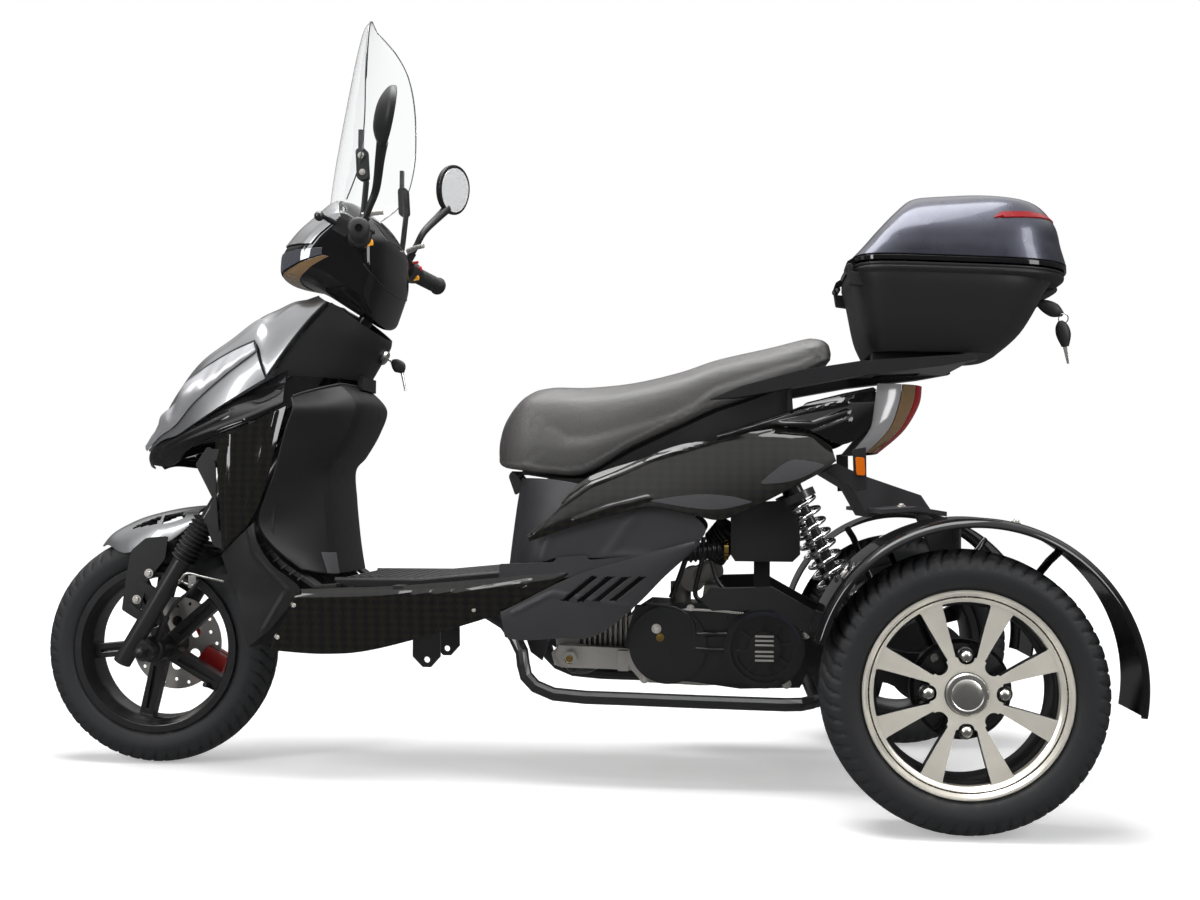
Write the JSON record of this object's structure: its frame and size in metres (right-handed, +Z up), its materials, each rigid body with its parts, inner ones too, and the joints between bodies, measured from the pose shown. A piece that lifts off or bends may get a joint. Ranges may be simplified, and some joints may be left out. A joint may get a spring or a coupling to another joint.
{
  "type": "three-wheeled motor scooter",
  "caption": "Step-through motor trike with one steered front wheel, two driven rear wheels under mudguards, a windscreen and a lidded top box.",
  "frame": {"origin": "on the ground under the middle of the vehicle's length, on its middle plane", "axes": "+X forward, +Y to the rider's left, +Z up"},
  "size_m": [2.028, 0.98, 1.478],
  "materials": {
    "gloss_black_plastic": "high gloss",
    "metallic_grey_plastic": "metallic gloss",
    "matte_black_plastic": "fine grain",
    "matte_grey_plastic": "fine grain",
    "black_steel": "satin",
    "tyre_rubber": "matt",
    "soft_rubber": "matt",
    "polished_alloy": "machined",
    "raw_alloy": "cast",
    "black_alloy": "satin",
    "bare_steel": "ground",
    "chrome": "polished",
    "red_paint": "satin",
    "seat_vinyl": "grained",
    "clear_screen": "clear",
    "clear_lens": "clear",
    "amber_lens": "tinted",
    "red_lens": "tinted"
  },
  "bodies": {
    "chassis": {"frame": "black_steel", "nose_fairing": "metallic_grey_plastic", "headlamps": "clear_lens", "front_shrouds": "gloss_black_plastic", "lower_fairings": "matte_black_plastic", "leg_shield": "matte_black_plastic", "floorboard": "matte_black_plastic", "side_skirts": "gloss_black_plastic", "seat_base": "matte_grey_plastic", "lower_cowls": "matte_grey_plastic", "side_panels": "gloss_black_plastic", "tail_panel": "gloss_black_plastic", "tail_lamp": "red_lens", "storage_bucket": "matte_black_plastic", "rack": "metallic_grey_plastic", "topbox_base": "matte_black_plastic", "locks_and_keys": "chrome", "engine": "raw_alloy", "cvt_cover": "black_alloy", "airbox": "matte_black_plastic", "muffler": "black_steel", "shocks": "chrome", "swing_arm": "black_steel", "rear_axle": "black_steel", "rear_fenders": "gloss_black_plastic", "tail_bridge": "matte_grey_plastic"},
    "seat": {"seat_cushion": "seat_vinyl", "seat_pan": "matte_black_plastic"},
    "box_lid": {"topbox_lid": "metallic_grey_plastic", "lid_reflector": "red_lens"},
    "steering": {"fork": "black_steel", "fork_boots": "soft_rubber", "front_fender": "metallic_grey_plastic", "handlebar": "black_steel", "grips": "soft_rubber", "headset_cover": "gloss_black_plastic", "headset_lamp": "amber_lens", "controls": "black_alloy", "mirrors": "matte_black_plastic", "windscreen": "clear_screen", "screen_stays": "black_steel", "brake_caliper": "red_paint"},
    "front_wheel": {"front_rim": "black_alloy", "front_tyre": "tyre_rubber", "brake_disc": "bare_steel"},
    "rear_left_wheel": {"rear_left_rim": "polished_alloy", "rear_left_tyre": "tyre_rubber"},
    "rear_right_wheel": {"rear_right_rim": "polished_alloy", "rear_right_tyre": "tyre_rubber"}
  },
  "joints": [
    {"name": "steering_turn", "type": "hinge", "parent": "chassis", "child": "steering", "pos_m": [0.77108, 0, 0.22239], "axis": [-0.5075, 0, 0.8616], "range_deg": [-40, 40]},
    {"name": "front_wheel_spin", "type": "hinge", "parent": "steering", "child": "front_wheel", "pos_m": [0.784, 0, 0.23], "axis": [0, 1, 0], "continuous": true},
    {"name": "rear_left_spin", "type": "hinge", "parent": "chassis", "child": "rear_left_wheel", "pos_m": [-0.734, 0.405, 0.23], "axis": [0, 1, 0], "continuous": true},
    {"name": "rear_right_spin", "type": "hinge", "parent": "chassis", "child": "rear_right_wheel", "pos_m": [-0.734, -0.405, 0.23], "axis": [0, 1, 0], "continuous": true},
    {"name": "seat_lid", "type": "hinge", "parent": "chassis", "child": "seat", "pos_m": [0.066, 0, 0.58], "axis": [0, 1, 0], "range_deg": [0, 70]},
    {"name": "box_lid_hinge", "type": "hinge", "parent": "chassis", "child": "box_lid", "pos_m": [-0.576, 0, 0.967], "axis": [0, 1, 0], "range_deg": [0, 80]}
  ]
}
